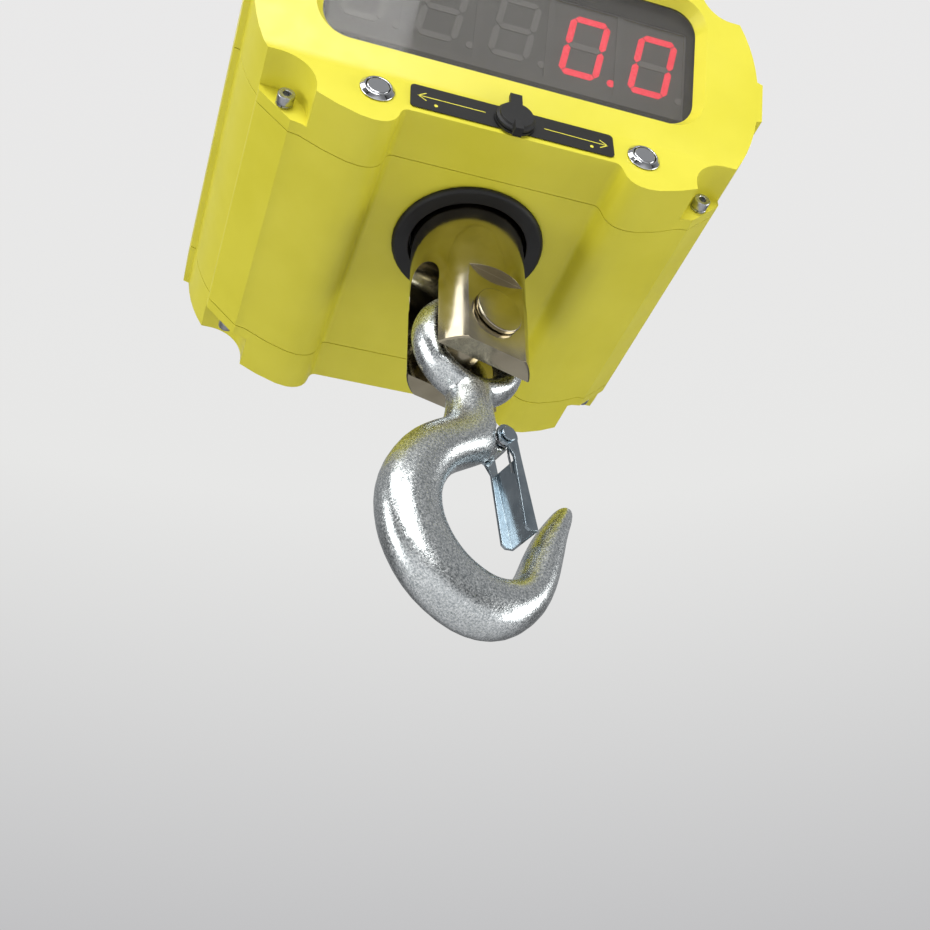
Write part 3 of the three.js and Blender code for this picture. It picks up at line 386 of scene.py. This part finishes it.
def rounded(node, name, width_mm, segments=2, sharp=30.0, flat=1.0):
    """A merged copy of a CAD node with its sharp edges rounded."""
    mesh = nodes[node].data.copy()
    piece = bpy.data.objects.new(name, mesh)
    bpy.context.scene.collection.objects.link(piece)
    fresh()
    piece.select_set(True)
    bpy.context.view_layer.objects.active = piece
    bpy.ops.object.mode_set(mode="EDIT")
    bpy.ops.mesh.select_all(action="SELECT")
    bpy.ops.mesh.remove_doubles(threshold=0.01 * MM)
    bpy.ops.mesh.dissolve_limited(angle_limit=math.radians(flat))
    bpy.ops.object.mode_set(mode="OBJECT")
    if width_mm:
        bevel = piece.modifiers.new("round", "BEVEL")
        bevel.width = width_mm * MM
        bevel.segments = segments
        bevel.limit_method = "ANGLE"
        bevel.angle_limit = math.radians(sharp)
        bevel.miter_outer = "MITER_ARC"
    apply_all(piece)
    bpy.ops.object.shade_smooth_by_angle(angle=SMOOTH_ANGLE)
    weigh = piece.modifiers.new("weigh", "WEIGHTED_NORMAL")
    weigh.keep_sharp = True
    apply_all(piece)
    return piece


EDGE_RADIUS = 1.1
CASTINGS = {"center_housing": "center_casting", "front_cover": "front_casting", "rear_cover": "rear_casting"}
for node, name in CASTINGS.items():
    casting = rounded(node, name, EDGE_RADIUS, 3)
    finished(casting, "housing", "paint", powder_coat, node)
    print(name, "faces", len(casting.data.polygons))

# %% [markdown]
# ## Pieces that keep their CAD shape
# Inner pieces, and thin or small ones that need no rounding, keep their solids and get a finish of
# their own.

# %% Finishes for the CAD nodes
DIGIT_COUNT = 5
PLAIN = {
    "black_rubber": (black_rubber, ["front_gasket", "rear_gasket"]),
    "green_solder_mask": (solder_mask, ["display_board", "main_board"]),
    "abs_battery_case": (battery_case, ["battery"]),
    "milled": (milled_alloy, ["load_cell"]),
    "stainless": (stainless, ["battery_bracket", "thrust_bearing", "swivel_nut", "top_spacer", "top_nut",
                              "button_nut_left", "button_nut_right", "latch_spring", "pin_clip"]),
    "led": (digit_face, [f"led_digit_{i}" for i in range(1, DIGIT_COUNT + 1)]),
    "film": (label_film, ["key_label"]),
    "nylon": (black_nylon, ["charge_socket"]),
    "lamp": (lamp_lens, ["indicator_lamp_left", "indicator_lamp_right"]),
    "zinc": (zinc_sheet, ["shackle_cotter"]),
}
for finish, names in PLAIN.values():
    for name in names:
        wear(nodes[name], finish)

# %% Rounded hardware
HARDWARE = [
    ("swivel_clevis", "swivel_body", 0.5, "swivel", "nickel", nickel_turned),
    ("hook_pin", "cross_pin", 0.5, "swivel", "nickel", nickel_turned),
    ("lower_bush", "lower_ring", 0.5, "housing", "black_plastic", black_nylon),
    ("upper_bush", "upper_ring", 0.5, "housing", "black_plastic", black_nylon),
    ("top_eye", "lifting_eye", 0.8, "housing", "nickel", nickel_turned),
    ("shackle_pin", "shackle_bolt", 0.6, "shackle", "zinc", zinc_sheet),
    ("shackle_nut", "shackle_hex_nut", 0.5, "shackle", "zinc", zinc_sheet),
    ("latch", "latch_plate", 0.25, "latch", "steel", zinc_sheet),
    ("latch_rivet", "latch_rivet_pin", 0.3, "hook", "steel", zinc_sheet),
    ("button_bezel_left", "left_bezel", 0.2, "housing", "chrome", chrome),
    ("button_bezel_right", "right_bezel", 0.2, "housing", "chrome", chrome),
    ("button_cap_left", "left_cap", 0.2, "button_left", "chrome", chrome),
    ("button_cap_right", "right_cap", 0.2, "button_right", "chrome", chrome),
    ("charge_cap", "rubber_plug", 0.4, "charge_cap", "rubber", black_rubber),
]
for node, name, width, body, slot, finish in HARDWARE:
    finished(rounded(node, name, width, 2), body, slot, finish, node)


# %% [markdown]
# ## Forgings
# The hook and the bow are drop forgings: nothing on them is sharp. Their solids are rebuilt on a fine
# grid and then smoothed, which melts every edge the way a die and a shot blast do.

# %% Hook and bow
def forged(node, name, grid_mm, passes):
    """A copy of a CAD node, rebuilt on a fine grid and softened."""
    piece = rounded(node, name, 0)
    rebuild = piece.modifiers.new("rebuild", "REMESH")
    rebuild.mode = "VOXEL"
    rebuild.voxel_size = grid_mm * MM
    soften = piece.modifiers.new("soften", "SMOOTH")
    soften.factor = 0.5
    soften.iterations = passes
    apply_all(piece)
    bpy.ops.object.shade_smooth()
    return piece


finished(forged("hook", "forged_hook", 0.7, 14), "hook", "zinc", zinc_forging, "hook")
finished(forged("shackle_bow", "forged_bow", 1.1, 6), "shackle", "zinc", zinc_forging, "shackle_bow")


# %% [markdown]
# ## The display
# Behind the window stand five seven-segment digits. Each segment is a flat bar with pointed ends,
# set in its place in the digit and then leaned over like the real glyphs.


# %% Flat bars
def settle(piece, matrix):
    """Puts the piece's place, and then the given frame, into its mesh."""
    bpy.context.view_layer.update()
    piece.data.transform(matrix @ piece.matrix_world)
    piece.matrix_world = Matrix.Identity(4)
    return piece


def join(pieces, name):
    fresh()
    for piece in pieces:
        piece.select_set(True)
    bpy.context.view_layer.objects.active = pieces[0]
    if len(pieces) > 1:
        bpy.ops.object.join()
    pieces[0].name = name
    return pieces[0]


def bar(length, width, height, point):
    """A flat bar in millimetres, drawn in metres, with its four corners cut back by point."""
    fresh()
    bpy.ops.mesh.primitive_plane_add(size=1, location=(0, 0, 0))
    piece = bpy.context.object
    bpy.ops.object.mode_set(mode="EDIT")
    bpy.ops.mesh.select_all(action="SELECT")
    bpy.ops.transform.resize(value=(length * MM, width * MM, 1))
    if point:
        bpy.ops.mesh.bevel(offset=point * MM, segments=1, affect="VERTICES")
    bpy.ops.mesh.select_all(action="SELECT")
    bpy.ops.mesh.extrude_region_move(TRANSFORM_OT_translate={"value": (0, 0, height * MM)})
    bpy.ops.mesh.select_all(action="SELECT")
    bpy.ops.mesh.normals_make_consistent(inside=False)
    bpy.ops.object.mode_set(mode="OBJECT")
    return piece


GLYPH_WIDTH = 18.0
GLYPH_HEIGHT = 30.06
GLYPH_SHIFT = 4.78
GLYPH_LEAN = GLYPH_SHIFT / GLYPH_HEIGHT
GLYPH_MIDDLE = 43.96
DIGIT_PITCH = 31.1
DIGIT_OFFSET = 0.42
DIGIT_FRONT = -9.65
MIDDLE_DIGIT = 2
FIRST_LIT = 3
STROKE = 2.9
SEGMENT_DEPTH = 0.25
SEGMENT_GAP = 0.7
DOT_X = 12.6
DOT_DROP = 0.2
DOT_RADIUS = 1.7
half_w = (GLYPH_WIDTH - STROKE) / 2
half_h = (GLYPH_HEIGHT - STROKE) / 2
SEGMENTS = {
    "a": (0, half_h, 0), "g": (0, 0, 0), "d": (0, -half_h, 0),
    "f": (-half_w, half_h / 2, 90), "b": (half_w, half_h / 2, 90),
    "e": (-half_w, -half_h / 2, 90), "c": (half_w, -half_h / 2, 90),
}
lean_over = Matrix.Identity(4)
lean_over[0][1] = GLYPH_LEAN


def segment(x, y, angle):
    """One bar at its place in the digit: lying at 0 degrees, standing at 90."""
    length = (half_h if angle else 2 * half_w) - SEGMENT_GAP
    piece = bar(length, STROKE, SEGMENT_DEPTH, STROKE / 2 - 0.05)
    piece.rotation_euler = (0, 0, math.radians(angle))
    piece.location = (x * MM, y * MM, 0)
    return piece


lit_pieces = []
unlit_pieces = []
for i in range(DIGIT_COUNT):
    shown = "abcdef" if i >= FIRST_LIT else ""
    across = DIGIT_PITCH * (i - MIDDLE_DIGIT) + DIGIT_OFFSET
    spot = Matrix.Translation(Vector((across, GLYPH_MIDDLE, DIGIT_FRONT)) * MM)
    for key, (x, y, angle) in SEGMENTS.items():
        piece = settle(segment(x, y, angle), DISPLAY @ spot @ lean_over)
        (lit_pieces if key in shown else unlit_pieces).append(piece)
    fresh()
    bpy.ops.mesh.primitive_cylinder_add(
        vertices=20, radius=DOT_RADIUS * MM, depth=SEGMENT_DEPTH * MM,
        location=(DOT_X * MM, (-half_h - DOT_DROP) * MM, SEGMENT_DEPTH / 2 * MM))
    dot = settle(bpy.context.object, DISPLAY @ spot)
    (lit_pieces if i == FIRST_LIT else unlit_pieces).append(dot)
finished(join(lit_pieces, "lit_segments"), "housing", "digit", lit_diffuser)
finished(join(unlit_pieces, "unlit_segments"), "housing", "digit", unlit_diffuser)


# %% [markdown]
# The window is a plate of smoked acrylic. A dark border is printed on its back, so that the edge of
# the plate doesn't show. Behind it a grey card with five openings fills in around the digits.

# %% Window and border
def plate(x0, x1, y0, y1, z0, z1, radius, steps=8):
    """A flat plate in millimetres with rounded corners, drawn in metres."""
    fresh()
    middle_x, middle_y = (x0 + x1) / 2, (y0 + y1) / 2
    bpy.ops.mesh.primitive_plane_add(size=1, location=(middle_x * MM, middle_y * MM, z0 * MM))
    piece = bpy.context.object
    bpy.ops.object.mode_set(mode="EDIT")
    bpy.ops.mesh.select_all(action="SELECT")
    bpy.ops.transform.resize(value=((x1 - x0) * MM, (y1 - y0) * MM, 1))
    if radius:
        bpy.ops.mesh.bevel(offset=radius * MM, segments=steps, affect="VERTICES")
    bpy.ops.mesh.select_all(action="SELECT")
    bpy.ops.mesh.extrude_region_move(TRANSFORM_OT_translate={"value": (0, 0, (z1 - z0) * MM)})
    bpy.ops.mesh.select_all(action="SELECT")
    bpy.ops.mesh.normals_make_consistent(inside=False)
    bpy.ops.object.mode_set(mode="OBJECT")
    return piece


def cut_out(piece, tool):
    """Takes the tool's shape out of the piece, and removes the tool."""
    boolean = piece.modifiers.new("cut", "BOOLEAN")
    boolean.object = tool
    boolean.solver = "EXACT"
    apply_all(piece)
    bpy.data.objects.remove(tool)
    return piece


PANE_FRONT = -5.2
PANE_BACK = -8.2
# Each outline is its left, right, lower and upper edge on the display face.
PANE = (-82.7, 82.7, 11.9, 75.9)
BORDER = (-82.0, 82.0, 12.6, 75.2)
BORDER_OPENING = (-77, 77, 20.1, 64.1)
CARD = (-79, 79, 18.5, 66)
CARD_OPENING_HALF = 14.2
CARD_OPENING_LOW = 24
CARD_OPENING_HIGH = 63.9
pane = plate(*PANE, PANE_BACK, PANE_FRONT, 15)
finished(settle(pane, DISPLAY), "housing", "lens", smoked_acrylic, "display_lens")
border = plate(*BORDER, PANE_BACK - 0.25, PANE_BACK - 0.05, 14.5)
opening = plate(*BORDER_OPENING, PANE_BACK - 2, PANE_BACK + 2, 1.5, 4)
finished(settle(cut_out(border, opening), DISPLAY), "housing", "lens", window_border)
card = plate(*CARD, -9.4, -9.15, 1)
for i in range(DIGIT_COUNT):
    x = DIGIT_PITCH * (i - MIDDLE_DIGIT)
    hole = plate(x - CARD_OPENING_HALF, x + CARD_OPENING_HALF, CARD_OPENING_LOW, CARD_OPENING_HIGH,
                 -11, -8, 0.6, 2)
    card = cut_out(card, hole)
finished(settle(card, DISPLAY), "housing", "lens", filter_card)

# %% [markdown]
# ## Marks on the label
# The printed words are left out. Only the two arrows and the two lamp dots remain.


# %% Label marks
LINE_WIDTH = 0.4
INK_DEPTH = 0.05
LABEL_FRONT = 0.62
HEAD_ANGLE = 0.6
HEAD_LENGTH = 4.2
HEAD_BACK = 1.9
LABEL_DOTS = ((-32, 5.5), (32.6, 5.5))
LABEL_DOT_RADIUS = 0.75
LABEL_DOT_MIDDLE = 0.645


def arrow(x_tail, x_tip, z_tail, z_tip):
    """A thin line with a two-stroke head, in the strip's own axes."""
    run = Vector((x_tip - x_tail, z_tip - z_tail))
    angle = math.atan2(run.y, run.x)
    strokes = [((x_tail + run.x / 2, z_tail + run.y / 2), angle, run.length)]
    for turn in (angle - HEAD_ANGLE, angle + HEAD_ANGLE):
        spot = (x_tip - HEAD_BACK * math.cos(turn), z_tip - HEAD_BACK * math.sin(turn))
        strokes.append((spot, turn, HEAD_LENGTH))
    pieces = []
    for spot, turn, length in strokes:
        stroke = bar(length, LINE_WIDTH, INK_DEPTH, 0)
        stroke.rotation_euler = (0, 0, turn)
        stroke.location = (spot[0] * MM, spot[1] * MM, LABEL_FRONT * MM)
        pieces.append(settle(stroke, STRIP))
    return pieces


marks = arrow(-11.8, -39.2, 9.4, 9.4) + arrow(12.6, 39.6, 8.8, 8.4)
for x, z in LABEL_DOTS:
    fresh()
    bpy.ops.mesh.primitive_cylinder_add(
        vertices=24, radius=LABEL_DOT_RADIUS * MM, depth=INK_DEPTH * MM,
        location=(x * MM, z * MM, LABEL_DOT_MIDDLE * MM))
    marks.append(settle(bpy.context.object, STRIP))
finished(join(marks, "label_marks"), "housing", "paint", yellow_ink)


# %% [markdown]
# ## Cover screws
# Eight socket-head cap screws hold the covers. One is turned and given its hexagonal socket, a split
# spring washer is made beside it, and both are copied to the four corners in front and behind.

# %% One screw and one washer
def turned(name, profile, steps=48):
    """Spins a profile of (radius, height) points in millimetres about Z and closes the solid."""
    mesh = bpy.data.meshes.new(name)
    points = [(r * MM, 0, z * MM) for r, z in profile]
    mesh.from_pydata(points, [(i, i + 1) for i in range(len(points) - 1)], [])
    piece = bpy.data.objects.new(name, mesh)
    bpy.context.scene.collection.objects.link(piece)
    fresh()
    piece.select_set(True)
    bpy.context.view_layer.objects.active = piece
    bpy.ops.object.mode_set(mode="EDIT")
    bpy.ops.mesh.select_all(action="SELECT")
    bpy.ops.mesh.spin(steps=steps, angle=2 * math.pi, center=(0, 0, 0), axis=(0, 0, 1))
    bpy.ops.mesh.select_all(action="SELECT")
    bpy.ops.mesh.remove_doubles(threshold=0.001 * MM)
    bpy.ops.mesh.normals_make_consistent(inside=False)
    bpy.ops.object.mode_set(mode="OBJECT")
    bpy.ops.object.shade_smooth_by_angle(angle=SMOOTH_ANGLE)
    return piece


screw = turned("cap_screw", [
    (0, -17.5), (1.8, -17.5), (2, -17.2), (2, 0), (3.2, 0), (3.5, 0.25), (3.5, 3.5), (3.4, 3.8), (3.15, 4),
    (1.95, 4), (1.8, 3.8), (0, 3.8),
], 40)
SOCKET_RADIUS = 1.75
HEAD_TOP = 3.8
fresh()
bpy.ops.mesh.primitive_cylinder_add(
    vertices=6, radius=SOCKET_RADIUS * MM, depth=4 * MM, location=(0, 0, HEAD_TOP * MM))
screw = cut_out(screw, bpy.context.object)
washer = turned("spring_washer", [
    (2.15, 0.05), (3.4, 0.05), (3.5, 0.15), (3.5, 1.0), (3.4, 1.1), (2.15, 1.1), (2.15, 0.05),
], 40)
washer = cut_out(washer, plate(2, 4, -0.25, 0.25, -1, 2, 0))

# %% Eight places
SCREW_X = {"left": -87.8, "right": 87.8}
SCREW_Z = {"lower": 7.3, "upper": 93.3}
# For each cover: which way the screws point, and where the flat under their heads lies.
PADS = {"front": (1, -42.0), "rear": (-1, 84.0)}
HARDWARE_AT_CORNER = [(screw, "screw", 1.2), (washer, "washer", 0)]
CORNERS = [(side, top) for side in SCREW_X for top in SCREW_Z]
for end, (way, pad) in PADS.items():
    for side, top in CORNERS:
        corner = (SCREW_X[side], pad, SCREW_Z[top] - HANG)
        face = axes((1, 0, 0), (0, 0, way), (0, -way, 0), corner)
        for master, kind, lift in HARDWARE_AT_CORNER:
            name = f"{end}_{top}_{side}_{kind}"
            made = bpy.data.objects.new(name, master.data.copy())
            bpy.context.scene.collection.objects.link(made)
            # The left and right ones stop at different angles.
            turn = Matrix.Rotation(0.7 * len(name) + (0.9 if side == "left" else 0.2), 4, "Z")
            settle(made, face @ Matrix.Translation((0, 0, lift * MM)) @ turn)
            stands = [f"{end}_screw_{top}_{side}"] if master is screw else []
            finished(made, "housing", "steel", stainless, *stands)
for master in (screw, washer):
    bpy.data.objects.remove(master)
